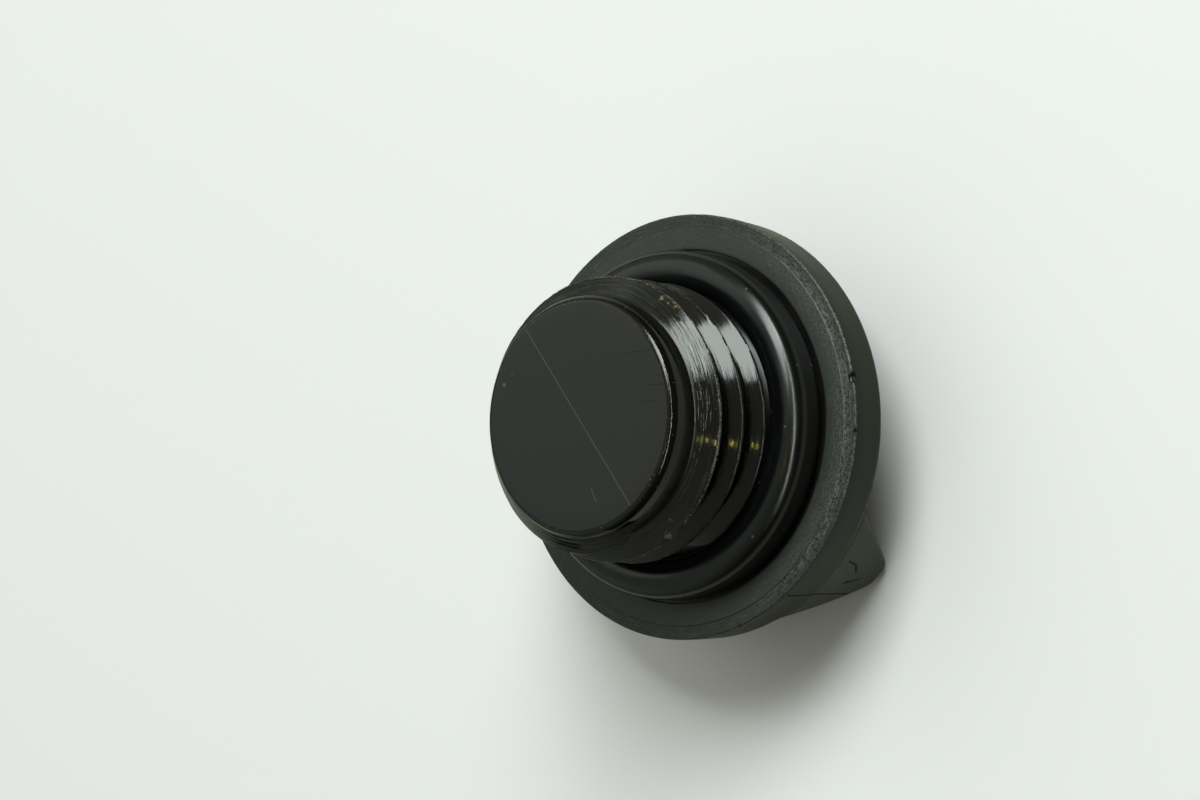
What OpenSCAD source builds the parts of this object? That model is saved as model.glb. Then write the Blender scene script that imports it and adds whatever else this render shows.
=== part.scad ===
// Screw-in oil filler cap: one plastic moulding and the rubber ring round its neck.
// +Z runs along the cap's axis, out of the filler neck's mouth side of the cap and towards the plug's closed end.
// The origin is on the axis, in the plane of the flange's sealing side. +X runs along the grip.

/* [Plug] */
// Height of the closed end above the flange
plug_h = 18.5; // [15:0.1:26]
// Width of the bevel round the closed end, seen along the axis
nose_bevel_w = 0.5; // [0.2:0.1:1.2]
// Height of that bevel
nose_bevel_h = 0.85; // [0.3:0.05:2]

/* [Thread] */
// Outer diameter of the thread
thread_d = 32; // [28:0.5:34]
// Pitch of the thread, which is right-handed
thread_pitch = 4; // [3.4:0.1:5]
// Depth of the thread, from its crest to its root
thread_depth = 2.5; // [1.4:0.05:2.7]
// Angle between the two flanks of the thread
thread_angle = 60; // [50:1:60]
// Width of the flat on the crest
crest_w = 0.25; // [0.1:0.05:0.5]
// Turns of the thread, with its run-in and run-out
thread_turns = 2.98; // [2:0.01:3.1]
// Distance from the closed end down to the first crest
thread_lead = 2; // [1.8:0.1:4]
// Where the first crest starts, as an angle from the grip
thread_start = -12; // [-180:1:180]
// Angle over which the first turn rises out of the plug
run_in = 14; // [8:1:40]
// Angle over which the last turn sinks back
run_out = 40; // [20:1:90]
// Distance from the closed end down to where the lead-in leaves the core
lead_in = 1.1; // [0.9:0.1:2]
// Angle between the lead-in and the axis
lead_in_angle = 45; // [30:1:60]

/* [Flange] */
// How far the flange stands out past the thread's crest
flange_out = 8.5; // [6:0.25:14]
// Thickness of the flange at its wall
flange_t = 5.7; // [4:0.1:8]
// Draft of the outer wall and of the grip's ends
wall_draft = 2; // [0:0.25:4]
// Radius of the flange's edge on the grip's side
back_edge_r = 0.7; // [0.3:0.1:1.5]
// Radius of the flange's edge on the plug's side
front_edge_r = 0.25; // [0.1:0.05:0.6]
// Width of the outer land, which lies below the sealing face
land_w = 1.5; // [0.5:0.1:2]
// Drop from the sealing face to that land
land_drop = 0.12; // [0.05:0.01:0.4]

/* [Neck and ring] */
// How far the neck that carries the ring lies inside the thread's crest
neck_in = 0.8; // [0.5:0.05:1.25]
// Height of the neck's straight part above the flange
neck_h = 2.5; // [1:0.1:2.8]
// Depth of the ring's seat in the flange
seat_depth = 0.4; // [0.1:0.1:1]
// Gap between the ring and the outer side of its seat
seat_gap = 0.3; // [0.1:0.05:0.8]
// Gap between the ring and the neck
neck_gap = 0.02; // [0.01:0.01:0.2]
// Width of the ring's section
ring_w = 4.8; // [3.5:0.1:5]
// Height of the ring's section
ring_h = 5.2; // [4:0.1:5.4]
// Width of the narrow flat left on the ring's rounded free side
ring_flat_w = 0.2; // [0.1:0.05:1.2]
// Radius of the ring's section at its seat
ring_foot_r = 1.2; // [0.3:0.1:1.7]

/* [Grip] */
// Height of the grip above the back of the flange
grip_h = 11; // [7:0.5:16]
// Width of the grip where it meets the flange
grip_w = 17.2; // [14:0.1:22]
// Radius of the grip's rounded ridge
grip_tip_r = 2.6; // [1.5:0.1:3]
// Radius of the rounding where the ridge turns down at each end
grip_end_r = 1.4; // [0.8:0.1:2.5]
// Ledge between the flange's wall and the grip's end
grip_ledge = 0.15; // [0.05:0.05:0.6]
// Radius of the fillet at the grip's foot
grip_foot_r = 1; // [0.4:0.1:2]

/* [Hidden] */

cap_colour = "#2b2c2a";
ring_colour = "#242628";

// Round surfaces are drawn fine enough to look round; the solids keep true curves.
$fn = 96;

thread_r = thread_d / 2;
root_r = thread_r - thread_depth;
neck_r = thread_r - neck_in;
flange_r = thread_r + flange_out;
face_r = root_r - nose_bevel_w;
ring_r1 = neck_r + neck_gap;
ring_r2 = ring_r1 + ring_w;
ring_top_r = (ring_w - ring_flat_w) / 2;
seat_r = ring_r2 + seat_gap;
land_r = flange_r - land_w;

// The neck narrows to the thread's root at the thread's own flank angle.
half_angle = thread_angle / 2;
neck_cone_h = (neck_r - root_r) * tan(half_angle);

// Radius of the drafted wall at a distance below the flange's sealing side
function wall_r(depth) = flange_r - depth * tan(wall_draft);

// Points of a rounded corner: centre, radius, first and last angle
function arc(c, r, a1, a2, n = 8) =
    [for (i = [0 : n]) let (a = a1 + (a2 - a1) * i / n) c + r * [cos(a), sin(a)]];

// The thread is one section swept along a helix. It starts and ends inside the core.
root_sink = 0.5;
turn_step = 6;
thread_rings = round(360 * thread_turns / turn_step);
thread_top = plug_h - thread_lead;

// How far a ring of the sweep stands out, from 0 at either end to 1 along the thread
function rise(angle) = min(1, angle / run_in, (360 * thread_turns - angle) / run_out);

// Smooth step from 0 to 1
function ease(x) = x * x * (3 - 2 * x);

// Section of the thread as [radius, height] points, for a crest that stands out by s of its full depth
function thread_section(s) =
    let (inner = root_r - root_sink,
         crest = root_r - root_sink / 2 + s * (thread_depth + root_sink / 2),
         half_root = (crest - inner) * tan(half_angle) + crest_w / 2)
    [[inner, -half_root], [crest, -crest_w / 2], [crest, crest_w / 2], [inner, half_root]];

// One ring of the sweep, counted down from the closed end
function thread_ring(i) =
    let (down = i * 360 * thread_turns / thread_rings,
         angle = thread_start - down,
         z = thread_top - thread_pitch * down / 360)
    [for (p = thread_section(ease(rise(down)))) [p[0] * cos(angle), p[0] * sin(angle), z + p[1]]];

module helix_thread() {
    k = 4;
    points = [for (i = [0 : thread_rings]) each thread_ring(i)];
    last = thread_rings * k;
    sides = [for (i = [0 : thread_rings - 1], j = [0 : k - 1])
        let (a = i * k + j, b = i * k + (j + 1) % k, c = a + k, d = b + k)
        each [[a, c, d], [a, d, b]]];
    caps = [[for (j = [0 : k - 1]) j], [for (j = [k - 1 : -1 : 0]) last + j]];
    polyhedron(points = points, faces = concat(sides, caps));
}

// Envelope of the thread: a cone turns the first crest down towards the closed end
module lead_in_envelope() {
    over = thread_r + thread_depth;
    rotate_extrude()
        polygon([[0, -flange_t / 2], [over, -flange_t / 2],
                 [over, plug_h - lead_in - (over - root_r) / tan(lead_in_angle)],
                 [root_r, plug_h - lead_in], [0, plug_h - lead_in]]);
}

// Everything that was turned in the mould: closed end, core, neck, seat and flange
module turned_body() {
    back = -flange_t;
    rotate_extrude()
        polygon(concat(
            [[0, plug_h], [0, back]],
            arc([wall_r(flange_t) - back_edge_r, back + back_edge_r], back_edge_r, -90, 0),
            arc([flange_r - front_edge_r, -land_drop - front_edge_r], front_edge_r, 0, 90, 4),
            [[land_r, -land_drop], [land_r - land_drop, 0], [seat_r, 0], [seat_r, -seat_depth],
             [neck_r, -seat_depth], [neck_r, neck_h], [root_r, neck_h + neck_cone_h],
             [root_r, plug_h - nose_bevel_h], [face_r, plug_h]]));
}

// Outline of the grip across its length: two straight flanks, a round ridge and a fillet at each foot
module grip_outline() {
    foot = grip_w / 2;
    tip_y = grip_h - grip_tip_r;
    slope = atan2(foot, tip_y) - asin(grip_tip_r / norm([foot, tip_y]));
    outward = [cos(slope), sin(slope)];
    tangent = [0, tip_y] + grip_tip_r * outward;
    fillet = [foot + grip_foot_r * (1 - sin(slope)) / cos(slope), grip_foot_r];
    fillet_top = fillet - grip_foot_r * outward;
    difference() {
        union() {
            translate([0, tip_y])
                circle(r = grip_tip_r);
            polygon([[-fillet[0], -root_sink], [-fillet[0], 0], [-fillet_top[0], fillet_top[1]],
                     [-tangent[0], tangent[1]], [tangent[0], tangent[1]],
                     [fillet_top[0], fillet_top[1]], [fillet[0], 0], [fillet[0], -root_sink]]);
        }
        for (side = [-1, 1])
            translate([side * fillet[0], fillet[1]])
                circle(r = grip_foot_r);
    }
}

// Envelope that rounds off the grip's two ends
module grip_envelope() {
    end_depth = flange_t + grip_h;
    r1 = wall_r(flange_t) - grip_ledge;
    r2 = wall_r(end_depth) - grip_ledge;
    rotate_extrude()
        polygon(concat(
            [[0, -flange_t / 2], [0, -end_depth]],
            arc([r2 - grip_end_r, -end_depth + grip_end_r], grip_end_r, -90, 0),
            [[r1, -flange_t / 2]]));
}

module grip() {
    intersection() {
        grip_envelope();
        translate([0, 0, -flange_t])
            rotate([0, 90, 0])
                rotate([0, 0, -90])
                    linear_extrude(height = 2 * flange_r, center = true)
                        grip_outline();
    }
}

module cap() {
    color(cap_colour)
        union() {
            turned_body();
            intersection() {
                helix_thread();
                lead_in_envelope();
            }
            grip();
        }
}

module gasket() {
    top = ring_h - seat_depth;
    color(ring_colour)
        rotate_extrude()
            polygon(concat(
                arc([ring_r1 + ring_foot_r, -seat_depth + ring_foot_r], ring_foot_r, 180, 270),
                arc([ring_r2 - ring_foot_r, -seat_depth + ring_foot_r], ring_foot_r, 270, 360),
                arc([ring_r2 - ring_top_r, top - ring_top_r], ring_top_r, 0, 90),
                arc([ring_r1 + ring_top_r, top - ring_top_r], ring_top_r, 90, 180)));
}

cap();
gasket();
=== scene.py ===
"""Dresses the screw-in oil filler cap: moulding, thread, grip and rubber ring, on a plain stage."""

import math
from functools import partial
from types import SimpleNamespace

import bpy
from bpy.props import FloatProperty, FloatVectorProperty, IntProperty, PointerProperty, StringProperty
from mathutils import Matrix, Vector


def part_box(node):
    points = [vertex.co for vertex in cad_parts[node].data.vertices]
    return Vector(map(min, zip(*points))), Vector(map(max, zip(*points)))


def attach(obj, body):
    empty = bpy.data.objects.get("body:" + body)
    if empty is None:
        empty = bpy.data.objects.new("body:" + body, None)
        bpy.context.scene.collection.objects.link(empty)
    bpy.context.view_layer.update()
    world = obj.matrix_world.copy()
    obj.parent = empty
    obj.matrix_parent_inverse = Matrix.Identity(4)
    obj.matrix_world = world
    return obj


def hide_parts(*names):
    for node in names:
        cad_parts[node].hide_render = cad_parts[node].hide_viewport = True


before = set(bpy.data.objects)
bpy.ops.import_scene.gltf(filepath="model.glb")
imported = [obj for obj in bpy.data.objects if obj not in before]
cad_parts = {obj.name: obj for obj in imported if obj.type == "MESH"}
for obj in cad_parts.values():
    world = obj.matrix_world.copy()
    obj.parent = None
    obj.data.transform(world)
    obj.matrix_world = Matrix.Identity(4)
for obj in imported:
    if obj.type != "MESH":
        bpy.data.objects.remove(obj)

bl_info = {
    "name": "Oil filler cap",
    "version": (1, 0, 0),
    "blender": (4, 5, 0),
    "location": "View3D > Sidebar > Filler cap",
    "description": "Builds a screw-in oil filler cap with a helical thread, a rubber ring and a turning grip",
    "category": "Object",
}

MM = 0.001
CAP_LOW, CAP_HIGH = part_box("cap")
RING_LOW, RING_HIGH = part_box("gasket")


# Sizes and colours


def length(name, description, default_mm):
    """A size in metres, written here in millimetres."""
    return FloatProperty(name=name, description=description, default=default_mm * MM, unit="LENGTH")


def angle(name, description, default_degrees):
    """An angle, written here in degrees."""
    default = math.radians(default_degrees)
    return FloatProperty(name=name, description=description, default=default, subtype="ANGLE")


def colour(name, description, default):
    """A colour as an sRGB hex value."""
    return StringProperty(name=name, description=description, default=default)


class PlugSizes(bpy.types.PropertyGroup):
    """Turned part of the moulding: plug, neck, seat and flange"""

    top: length("Closed end", "Height of the closed end", CAP_HIGH[2] / MM)
    flange_r: length("Flange radius", "Radius of the flange", CAP_HIGH[1] / MM)
    bevel_w: length("Bevel width", "Width of the bevel round the closed end", 0.5)
    bevel_h: length("Bevel height", "Height of the bevel round the closed end", 0.85)
    bevel_foot_r: length("Bevel foot", "Radius between the bevel and the core", 0.12)
    end_edge_r: length("End edge", "Radius between the closed end and its bevel", 0.8)
    core_r: length("Core radius", "Radius of the plug between the turns of the thread", 13.5)
    neck_r: length("Neck radius", "Radius of the neck that carries the ring", 15.2)
    neck_h: length("Neck height", "Height of the neck's straight part", 2.5)
    neck_cone_h: length("Neck cone", "Height of the cone between neck and core", 0.98)
    seat_r: length("Seat radius", "Outer radius of the ring's seat", 20.32)
    seat_depth: length("Seat depth", "Depth of the ring's seat", 0.4)
    seat_edge: length("Seat edge", "Width of the broken edge round the seat", 0.08)
    land_w: length("Land width", "Width of the lower land at the flange's edge", 1.5)
    land_drop: length("Land drop", "Drop from the sealing face to the land", 0.12)
    flange_t: length("Flange thickness", "Thickness of the flange at its wall", 5.7)
    draft: angle("Draft", "Draft of the flange's wall", 2)
    front_edge_r: length("Front edge", "Radius of the flange's edge beside the land", 0.25)
    back_edge_r: length("Back edge", "Radius of the flange's edge beside the grip", 0.7)
    segments: IntProperty(name="Segments", description="Steps round the axis", default=540, min=48)


class ThreadSizes(bpy.types.PropertyGroup):
    """Coarse right-handed thread"""

    depth: length("Depth", "Depth of the thread from crest to root", 2.5)
    pitch: length("Pitch", "Pitch of the thread", 4)
    crest: length("Crest", "Width of the flat on the crest", 0.25)
    crest_r: length("Crest rounding", "How far the crest's edges are rounded", 0.12)
    foot_r: length("Foot fillet", "Fillet between the flanks and the core", 0.35)
    sink: length("Root sink", "How deep the section's hidden side lies in the core", 0.4)
    flank: angle("Half angle", "Angle of each flank to a plane across the axis", 30)
    turns: FloatProperty(name="Turns", description="Turns of the thread", default=3.08)
    lead: length("Lead", "Distance from the closed end down to the first crest", 2)
    start: angle("Start", "Where the first crest starts, from the grip", -12)
    run_in: angle("Run-in", "Angle over which the first turn rises", 18)
    run_out: angle("Run-out", "Angle over which the last turn sinks back", 30)
    lead_in: length("Lead-in", "Distance from the closed end down to where the lead-in leaves the core", 1.1)
    lead_in_angle: angle("Lead-in angle", "Angle between the lead-in and the axis", 45)
    wear: length("Wear", "Depth of the nicks worn into the crest", 0.08)
    wear_size: length("Wear size", "Length of a usual nick", 0.55)
    steps: IntProperty(name="Steps per turn", description="Rings in one turn", default=240, min=24)
    section: IntProperty(name="Section points", description="Points round the section", default=48, min=12)


class GripSizes(bpy.types.PropertyGroup):
    """Turning grip across the back of the flange"""

    depth: length("Ridge", "Depth of the ridge below the sealing face", -CAP_LOW[2] / MM)
    foot_w: length("Foot width", "Width where the flanks meet the flange", 17.2)
    tip_r: length("Ridge radius", "Radius of the rounded ridge", 2.6)
    end_r: length("End radius", "Radius where the ridge turns down at each end", 1.4)
    foot_r: length("Foot fillet", "Radius of the fillet at the foot", 1)
    corner_r: length("Corner radius", "Radius between the flanks and the ends", 0.9)
    ledge: length("Ledge", "Ledge between the flange's wall and the grip's end", 0.15)


class RingSizes(bpy.types.PropertyGroup):
    """Rubber ring round the neck"""

    inner_r: length("Inner radius", "Inner radius of the ring", 15.22)
    outer_r: length("Outer radius", "Outer radius of the ring", RING_HIGH[1] / MM)
    top: length("Top", "Height of the ring's free side", RING_HIGH[2] / MM)
    foot: length("Foot", "Height of the ring's seated side", RING_LOW[2] / MM)
    flat: length("Flat", "Width of the flat on the free side", 0.2)
    foot_r: length("Foot radius", "Radius of the section at the seat", 1.2)


class StageSizes(bpy.types.PropertyGroup):
    """Camera, floor and lamps"""

    aim: FloatVectorProperty(
        name="Aim",
        description="Point the camera looks at",
        default=(-6.99 * MM, -2.96 * MM, 6.05 * MM),
        unit="LENGTH",
    )
    distance: length("Distance", "Distance from that point to the camera", 382.9)
    azimuth: angle("Azimuth", "Where the camera stands round the axis, from the grip", 38.594)
    elevation: angle("Elevation", "How high the camera stands", 50.35)
    roll: angle("Roll", "Roll of the camera about its line of sight", 84.13)
    lens: FloatProperty(name="Lens", description="Focal length for a 36 mm wide sensor, in mm", default=100)
    floor: length("Floor size", "Length of the floor's side", 6000)
    lamp_distance: length("Lamp distance", "Distance from the cap to each lamp", 1400)
    floor_colour: colour("Floor colour", "Pale board under the cap", "#EEEAED")
    sheet_colour: colour("Sheet", "How the board near the cap shows in its gloss", "#A9AB9F")
    bench_colour: colour("Bench", "How the board further off shows in its gloss", "#25241C")
    sheet_r: length("Sheet radius", "How far the pale sheet under the cap reaches in its gloss", 160)
    room_colour: colour("Room", "Dim side of the room", "#39371E")
    wall_colour: colour("Pale wall", "Pale side of the room, which the closed end mirrors", "#A6ADA2")
    backdrop: colour("Backdrop", "What the camera sees past the floor", "#EAEEE8")


class CapColours(bpy.types.PropertyGroup):
    """Colours of the plastic, the rubber, the marks of use, and of painted light and shade"""

    nylon: colour("Nylon", "Black glass-filled nylon", "#0D0E0C")
    nylon_brown: colour("Nylon, warm", "The same nylon where it has aged brown", "#16130D")
    end_disc: colour("Closed end", "Satin skin of the closed end", "#1B1A17")
    end_disc_cool: colour("Closed end, cool", "The same skin across the parting line", "#181C1A")
    face: colour("Sealing face", "Sealing face dulled by the filler neck", "#2D302D")
    land: colour("Outer land", "Dusty land at the flange's edge", "#262A27")
    wall: colour("Wall", "Outside of the flange", "#12140F")
    # Painted light: the grip is painted this pale to stand in for the light it catches from the board below.
    grip: colour("Grip", "Satin grip, greyed by hands", "#4C4D48")
    bevel: colour("Bevel", "Rough bevel at the closed end", "#0D0B09")
    # Also painted on the flange's front edge, where it is partly a painted highlight.
    scuff: colour("Scuff", "Plastic whitened by rubbing", "#8F9089")
    worn_crest: colour("Worn crest", "Crest of the thread rubbed pale", "#7A7564")
    # Painted shade: this black fills the parting line on the wall and the deep scratches, for the shade
    # inside their grooves.
    cut: colour("Cut", "Inside of the parting line and of the deep scratches", "#000000")
    dust: colour("Dust", "Pale dust", "#8A8A80")
    varnish: colour("Oil varnish", "Specks of dried oil", "#857448")
    rubber: colour("Rubber", "Black nitrile rubber", "#0A0B0B")
    rubber_bloom: colour("Rubber bloom", "Grey bloom on the rubber", "#151917")


class FillerCapSettings(bpy.types.PropertyGroup):
    """All sizes and colours of the filler cap"""

    plug: PointerProperty(type=PlugSizes)
    thread: PointerProperty(type=ThreadSizes)
    grip: PointerProperty(type=GripSizes)
    ring: PointerProperty(type=RingSizes)
    stage: PointerProperty(type=StageSizes)
    colours: PointerProperty(type=CapColours)


# Mesh helpers


def arc(centre, radius, first, last, steps=5):
    """Points of an arc in the (radius, height) plane, with angles in degrees."""
    turns = [math.radians(first + (last - first) * i / steps) for i in range(steps + 1)]
    return [(centre[0] + radius * math.cos(t), centre[1] + radius * math.sin(t)) for t in turns]


def spaced(a, b, count):
    """Points between a and b, without the ends."""
    return [tuple(p + (q - p) * i / (count + 1) for p, q in zip(a, b)) for i in range(1, count + 1)]


def mesh_object(name, points, faces, material, sharp=40):
    """A smooth-shaded piece at the origin, with edges sharper than that angle in degrees left crisp."""
    mesh = bpy.data.meshes.new(name)
    mesh.from_pydata([Vector(p) for p in points], [], faces)
    mesh.validate()
    mesh.shade_smooth()
    mesh.set_sharp_from_angle(angle=math.radians(sharp))
    mesh.materials.append(material)
    obj = bpy.data.objects.new(name, mesh)
    bpy.context.scene.collection.objects.link(obj)
    return obj


def turned_mesh(name, profile, segments, material, reshape=None, closed=False):
    """A profile of (radius, height) points turned about the axis. An open one starts and ends on the axis.

    The profile runs from the top outwards and down, so that the faces point outwards."""
    rim = profile if closed else profile[1:-1]
    rows = len(rim)
    turns = [2 * math.pi * s / segments for s in range(segments)]
    points = [(r * math.cos(turn), r * math.sin(turn), z) for turn in turns for r, z in rim]
    if reshape:
        points = [reshape(p) for p in points]
    pairs = [(s * rows, (s + 1) % segments * rows) for s in range(segments)]
    steps = [(i, (i + 1) % rows) for i in range(rows if closed else rows - 1)]
    faces = [(a + i, a + j, b + j, b + i) for a, b in pairs for i, j in steps]
    if not closed:
        top, bottom = len(points), len(points) + 1
        points += [(0, 0, profile[0][1]), (0, 0, profile[-1][1])]
        for a, b in pairs:
            faces += [(top, a, b), (bottom, b + rows - 1, a + rows - 1)]
    return mesh_object(name, points, faces, material)


# Node helpers

# What the math node works out, in plain words
SUMS = {
    "sum": "ADD",
    "difference": "SUBTRACT",
    "product": "MULTIPLY",
    "quotient": "DIVIDE",
    "smaller": "MINIMUM",
    "larger": "MAXIMUM",
    "soft smaller": "SMOOTH_MIN",
    "soft larger": "SMOOTH_MAX",
    "is less": "LESS_THAN",
    "magnitude": "ABSOLUTE",
    "sine": "SINE",
    "cosine": "COSINE",
    "tangent": "TANGENT",
    "bearing": "ARCTAN2",
    "in degrees": "DEGREES",
}
# Kinds of node in plain words: type, settings, the inputs in the order they are given, and the output used
KINDS = {word: ("ShaderNodeMath", {"operation": sum_type}, (0, 1, 2), 0) for word, sum_type in SUMS.items()}
KINDS |= {
    "eased": ("ShaderNodeMapRange", {"interpolation_type": "SMOOTHSTEP"}, (0, 1, 2, 3, 4), 0),
    "tint": ("ShaderNodeMix", {"data_type": "RGBA"}, (0, 6, 7), 2),
    "blend": ("ShaderNodeMix", {"data_type": "FLOAT"}, (0, 2, 3), 0),
    "noise": ("ShaderNodeTexNoise", {}, ("Vector", "Scale", "Detail", "Roughness"), 0),
    "cells": ("ShaderNodeTexVoronoi", {}, ("Vector", "Scale"), "Distance"),
    "vector": ("ShaderNodeCombineXYZ", {}, (0, 1, 2), 0),
    "parts": ("ShaderNodeSeparateXYZ", {}, (0,), 0),
    "vector product": ("ShaderNodeVectorMath", {"operation": "MULTIPLY"}, (0, 1), 0),
    "vector length": ("ShaderNodeVectorMath", {"operation": "LENGTH"}, (0,), "Value"),
    "vector scaled": ("ShaderNodeVectorMath", {"operation": "SCALE"}, (0, 3), 0),
    "unit vector": ("ShaderNodeVectorMath", {"operation": "NORMALIZE"}, (0,), 0),
    "facing": ("ShaderNodeVectorMath", {"operation": "DOT_PRODUCT"}, (0, 1), "Value"),
    "place": ("ShaderNodeTexCoord", {}, (), "Object"),
    "sky way": ("ShaderNodeTexCoord", {}, (), "Generated"),
    "seen by camera": ("ShaderNodeLightPath", {}, (), "Is Camera Ray"),
    "bump": ("ShaderNodeBump", {}, ("Height", "Strength", "Distance"), 0),
    "shader": ("ShaderNodeBsdfPrincipled", {}, (), 0),
    "surface": ("ShaderNodeOutputMaterial", {}, ("Surface",), None),
    "glow": ("ShaderNodeBackground", {}, ("Color", "Strength"), 0),
    "room": ("ShaderNodeOutputWorld", {}, ("Surface",), None),
    "given": ("NodeGroupInput", {}, (), 0),
    "result": ("NodeGroupOutput", {}, (0,), None),
    "line": ("GeometryNodeCurvePrimitiveLine", {}, (), 0),
    "circle": ("GeometryNodeCurvePrimitiveCircle", {}, ("Resolution",), 0),
    "resampled": ("GeometryNodeResampleCurve", {}, ("Curve", "Count"), 0),
    "share of curve": ("GeometryNodeSplineParameter", {}, (), "Factor"),
    "upright curve": ("GeometryNodeSetCurveNormal", {"mode": "Z_UP"}, (0,), 0),
    "swept": ("GeometryNodeCurveToMesh", {}, ("Curve", "Profile Curve", "Scale", "Fill Caps"), 0),
    "position": ("GeometryNodeInputPosition", {}, (), 0),
    "moved to": ("GeometryNodeSetPosition", {}, ("Geometry", "Position"), 0),
    "moved by": ("GeometryNodeSetPosition", {}, ("Geometry", "Offset"), 0),
    "realized": ("GeometryNodeRealizeInstances", {}, ("Geometry",), 0),
    "finished": ("GeometryNodeSetMaterial", {}, ("Geometry", "Material"), 0),
}


def add_node(tree, kind, *values):
    """Adds a node of that kind, sets or links its inputs, and gives the output that is used.

    A sum, a product or the larger of more than two values becomes a chain."""
    if kind in ("sum", "product", "larger") and len(values) > 2:
        values = (add_node(tree, kind, *values[:-1]), values[-1])
    type_name, settings, order, used = KINDS[kind]
    made = tree.nodes.new(type_name)
    for key, value in settings.items():
        setattr(made, key, value)
    for key, value in zip(order, values):
        if isinstance(value, bpy.types.NodeSocket):
            tree.links.new(value, made.inputs[key])
        else:
            made.inputs[key].default_value = value
    return None if used is None else made.outputs[used]


def linear(hex_colour):
    """An sRGB hex colour as linear RGBA."""
    parts = [int(hex_colour[i : i + 2], 16) / 255 for i in (1, 3, 5)]
    return [c / 12.92 if c <= 0.04045 else ((c + 0.055) / 1.055) ** 2.4 for c in parts] + [1.0]


def past(edge, first_mm, last_mm):
    """Two lengths in metres, which lie that many millimetres past an edge."""
    return edge + first_mm * MM, edge + last_mm * MM


def band(add, value, low_mm, high_mm, soft_mm):
    """1 where a length lies from low to high, fading over soft on either side."""
    above = add("eased", value, *past(low_mm * MM, -soft_mm, soft_mm))
    below = add("eased", value, *past(high_mm * MM, soft_mm, -soft_mm))
    return add("product", above, below)


def near_turn(add, at, middle, full, none, rest):
    """1 up to full degrees from a direction round the axis, easing down to the rest at none degrees."""
    return add("eased", add("magnitude", add("difference", at.turn, middle)), full, none, 1.0, rest)


def scale_for(size_mm):
    """Scale of a pattern whose usual blob or cell is that long."""
    return 1 / (size_mm * MM)


def unrolled(add, at, radius_mm):
    """Three lengths: round the axis as on that radius, out from the axis, and along it."""
    return add("product", at.turn, math.radians(radius_mm * MM)), at.radius, at.z


def stretched(add, lengths, sizes_mm):
    """Coordinates for a pattern whose usual blob is as long as the given size along each of three lengths."""
    return add("vector", *[add("quotient", value, size * MM) for value, size in zip(lengths, sizes_mm)])


def specks(add, where, spacing_mm, share):
    """Small dots in cells of that spacing, of which only that share holds one."""
    distance = add("cells", where, scale_for(spacing_mm))
    lot = add("parts", distance.node.outputs["Color"])
    return add("product", add("eased", distance, 0.22, 0.1), add("eased", lot, share, share * 0.9))


def spot(add, where, centre_mm, radius_mm, ragged):
    """1 within that distance of a point, with an edge made uneven by the given noise."""
    parts = zip(add("parts", where).node.outputs, Vector(centre_mm) * MM)
    away = add("vector length", add("vector", *[add("difference", part, middle) for part, middle in parts]))
    reach = add("product", add("eased", ragged, 0.3, 0.7, 0.4, 1.6), radius_mm * MM)
    return add("eased", add("difference", away, reach), *past(0, 0.08, -0.08))


def stroke(add, u, v, start, end, half_mm):
    """1 on the line from start to end, in millimetres in the plane of u and v. It fades out at both ends."""
    (u0, v0), (u1, v1) = start, end
    long = math.hypot(u1 - u0, v1 - v0)
    du, dv = (u1 - u0) / long, (v1 - v0) / long
    off_u, off_v = add("difference", u, u0 * MM), add("difference", v, v0 * MM)
    along = add("sum", add("product", off_u, du), add("product", off_v, dv))
    aside = add("magnitude", add("sum", add("product", off_u, -dv), add("product", off_v, du)))
    line = add("eased", aside, *past(0, half_mm, 0.3 * half_mm))
    return add("product", line, band(add, along, 0, long, 0.12 * long))


# Materials

# Names of the cap's two materials
NYLON, RUBBER = "moulded_glass_filled_nylon", "moulded_nitrile_rubber"

# Pale scratches on the closed end: start, end and half width in mm, and how pale
END_SCRATCHES = (
    ((7.1, -4.1), (8.8, -4.7), 0.09, 0.16),
    ((-7.5, -6.2), (-5.1, -7.9), 0.05, 0.05),
)
# Scratches on the closed end, painted dark as painted shade in their grooves: start, end and half width in mm
END_CUTS = (
    ((5.0, 9.3), (6.4, 10.8), 0.08),
    ((4.6, 10.6), (6.2, 11.6), 0.06),
    ((0.3, 9.7), (2.2, 12.1), 0.05),
    ((5.5, 7.3), (6.8, 8.7), 0.05),
)
# Specks of dried oil on the first turn of the thread, in mm: place and radius
OIL_SPECKS = (((-3.4, 15.12, 14.19), 0.24), ((-1.46, 15.71, 13.94), 0.2), ((-2.4, 15.3, 14.2), 0.1))
# Pale burrs where the parting line crosses the first turn, in mm: place and radius
SEAM_BURRS = (((15.32, -3.22, 12.83), 0.4), ((14.62, -1.47, 13.45), 0.2))
# Scrapes on the grip's end, painted dark as painted shade in their grooves, in mm across it and along the
# axis: start, end, half width
GRIP_MARKS = (
    ((2.3, -7.5), (1.8, -9.3), 0.13),
    ((1.8, -9.3), (0.7, -10.5), 0.2),
    ((-1.1, -9.8), (-0.8, -11.2), 0.26),
    ((-0.9, -11.0), (-0.4, -12.4), 0.16),
)
# Where the parting line runs, in degrees from the grip
PARTING_TURN = -7.2
# How far the bevel's finish reaches onto the closed end, as a share of the radius of the edge between them
GLOSSY_EDGE = 0.45
# Ring of the sealing face that the filler neck has rubbed: inner and outer radius and soft edge, in mm
RUBBED_RING = (21.6, 23.9, 0.8)
# Crease in the wall over the grip's end on +X: lowest and highest point and soft edge, in mm
CREASE = (-5.55, -5.2, 0.08)
# Sides of the cap: the middle, in degrees from the grip, how far from it a mark stays whole, how far from it
# the mark has faded, and the share that is left of it there
SPECKLED_SIDE = (50, 25, 80, 0.0)
CHIPS_AND_HIGHLIGHT_SIDE = (80, 30, 75, 0.25)
CREASED_SIDE = (0, 24, 38, 0.0)
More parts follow.
